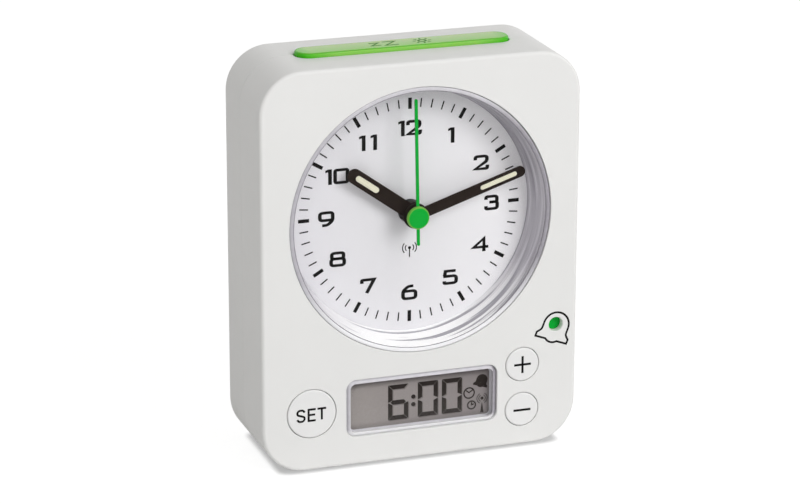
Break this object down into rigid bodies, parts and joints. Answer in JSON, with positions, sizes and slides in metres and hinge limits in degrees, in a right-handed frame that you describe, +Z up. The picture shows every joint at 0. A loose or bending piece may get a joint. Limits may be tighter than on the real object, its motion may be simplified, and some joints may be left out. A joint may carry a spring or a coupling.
{
  "type": "radio-controlled alarm clock",
  "caption": "Upright table alarm clock with a round dial under a clear cup, a digital display, front push buttons and a green light bar on top; hands, buttons, slider and battery door move.",
  "frame": {"origin": "middle of the base, on the table", "axes": "+Z up, -Y out of the dial, +X to the viewer's right"},
  "size_m": [0.0906, 0.0332, 0.1126],
  "materials": {
    "white_plastic": "satin moulded white",
    "button_plastic": "satin moulded white",
    "lime_plastic": "translucent lime green, smooth",
    "green_plastic": "opaque green, smooth",
    "brass_sheet": "bright sheet",
    "clear_plastic": "clear, polished",
    "dial_white": "matt printed white",
    "natural_plastic": "natural moulded",
    "hand_black": "matt black brown",
    "glow_cream": "matt cream, luminous paste",
    "black_plastic": "moulded black",
    "wheel_plastic": "natural acetal",
    "motor_steel": "bare stamped steel",
    "fitting_steel": "nickel-plated",
    "coil_copper": "enamelled wire",
    "display_grey": "grey reflective display",
    "rubber_grey": "layered conductive rubber",
    "board_green": "lacquered board",
    "ferrite_grey": "dull ferrite",
    "cell_sleeve": "plain unprinted sleeve"
  },
  "bodies": {
    "case": {"front_shell": "white_plastic", "rear_cover": "white_plastic", "dial_cup": "clear_plastic", "dial": "dial_white", "dial_carrier": "natural_plastic", "movement_front": "black_plastic", "movement_rear": "black_plastic", "minute_stator": "motor_steel", "second_stator": "motor_steel", "minute_coil": "coil_copper", "second_coil": "coil_copper", "display_window": "clear_plastic", "display_glass": "display_grey", "display_light_guide": "natural_plastic", "display_rubber_strip": "rubber_grey", "main_board": "board_green", "set_switch": "black_plastic", "plus_switch": "black_plastic", "minus_switch": "black_plastic", "controller_chip": "black_plastic", "quartz_crystal": "fitting_steel", "dial_lamp": "clear_plastic", "snooze_board": "board_green", "snooze_switch": "black_plastic", "aerial_rod": "ferrite_grey", "aerial_winding": "coil_copper", "buzzer": "black_plastic", "battery_upper": "cell_sleeve", "battery_lower": "cell_sleeve", "contact_bridge": "fitting_steel", "contact_plus": "fitting_steel", "contact_minus": "fitting_steel", "case_screw_1": "fitting_steel", "case_screw_2": "fitting_steel", "case_screw_3": "fitting_steel", "case_screw_4": "fitting_steel", "dial_screw_1": "fitting_steel", "dial_screw_2": "fitting_steel"},
    "minute_hand_body": {"minute_wheel": "wheel_plastic", "minute_hand": "hand_black", "minute_hand_glow": "glow_cream"},
    "hour_hand_body": {"hour_wheel": "wheel_plastic", "hour_hand": "hand_black", "hour_hand_glow": "glow_cream"},
    "motion_wheel_body": {"motion_wheel": "wheel_plastic"},
    "minute_third_body": {"minute_third_wheel": "wheel_plastic"},
    "minute_rotor_body": {"minute_rotor": "motor_steel"},
    "second_hand_body": {"second_wheel": "wheel_plastic", "second_hand": "green_plastic"},
    "second_third_body": {"second_third_wheel": "wheel_plastic"},
    "second_rotor_body": {"second_rotor": "motor_steel"},
    "set_button_body": {"set_button": "button_plastic"},
    "plus_button_body": {"plus_button": "button_plastic"},
    "minus_button_body": {"minus_button": "button_plastic"},
    "snooze_bar_body": {"snooze_bar": "lime_plastic"},
    "alarm_slider_body": {"alarm_slider": "green_plastic", "alarm_contact": "brass_sheet"},
    "battery_door_body": {"battery_door": "white_plastic"}
  },
  "joints": [
    {"name": "minute_hand_turn", "type": "hinge", "parent": "case", "child": "minute_hand_body", "pos_m": [0, 0, 0.0674], "axis": [0, 1, 0], "continuous": true},
    {"name": "hour_hand_turn", "type": "hinge", "parent": "case", "child": "hour_hand_body", "pos_m": [0, 0, 0.0674], "axis": [0, 1, 0], "continuous": true},
    {"name": "motion_wheel_turn", "type": "hinge", "parent": "case", "child": "motion_wheel_body", "pos_m": [0, 0, 0.0574], "axis": [0, 1, 0], "continuous": true},
    {"name": "minute_third_turn", "type": "hinge", "parent": "case", "child": "minute_third_body", "pos_m": [0.00803, 0, 0.07302], "axis": [0, 1, 0], "continuous": true},
    {"name": "minute_rotor_turn", "type": "hinge", "parent": "case", "child": "minute_rotor_body", "pos_m": [0.01523, 0, 0.07302], "axis": [0, 1, 0], "continuous": true},
    {"name": "second_hand_turn", "type": "hinge", "parent": "case", "child": "second_hand_body", "pos_m": [0, 0, 0.0674], "axis": [0, 1, 0], "continuous": true},
    {"name": "second_third_turn", "type": "hinge", "parent": "case", "child": "second_third_body", "pos_m": [-0.00803, 0, 0.07302], "axis": [0, 1, 0], "continuous": true},
    {"name": "second_rotor_turn", "type": "hinge", "parent": "case", "child": "second_rotor_body", "pos_m": [-0.01523, 0, 0.07302], "axis": [0, 1, 0], "continuous": true},
    {"name": "set_button_press", "type": "slide", "parent": "case", "child": "set_button_body", "axis": [0, 1, 0], "range_m": [0, 0.0008], "stiffness_N_per_m": 250, "springref_m": -0.002},
    {"name": "plus_button_press", "type": "slide", "parent": "case", "child": "plus_button_body", "axis": [0, 1, 0], "range_m": [0, 0.0008], "stiffness_N_per_m": 250, "springref_m": -0.002},
    {"name": "minus_button_press", "type": "slide", "parent": "case", "child": "minus_button_body", "axis": [0, 1, 0], "range_m": [0, 0.0008], "stiffness_N_per_m": 250, "springref_m": -0.002},
    {"name": "snooze_bar_press", "type": "slide", "parent": "case", "child": "snooze_bar_body", "axis": [0, 0, -1], "range_m": [0, 0.0012], "stiffness_N_per_m": 300, "springref_m": -0.002},
    {"name": "alarm_slide", "type": "slide", "parent": "case", "child": "alarm_slider_body", "axis": [0, 0, -1], "range_m": [0, 0.005]},
    {"name": "battery_door_hinge", "type": "hinge", "parent": "case", "child": "battery_door_body", "pos_m": [0, 0.0165, 0.00555], "axis": [-1, 0, 0], "range_deg": [0, 80]}
  ],
  "couplings": [
    {"joint": "hour_hand_turn", "follows": "minute_hand_turn", "ratio": 0.083333},
    {"joint": "motion_wheel_turn", "follows": "minute_hand_turn", "ratio": -0.33333},
    {"joint": "minute_third_turn", "follows": "minute_hand_turn", "ratio": -6},
    {"joint": "minute_rotor_turn", "follows": "minute_hand_turn", "ratio": 30},
    {"joint": "second_third_turn", "follows": "second_hand_turn", "ratio": -6},
    {"joint": "second_rotor_turn", "follows": "second_hand_turn", "ratio": 30}
  ]
}
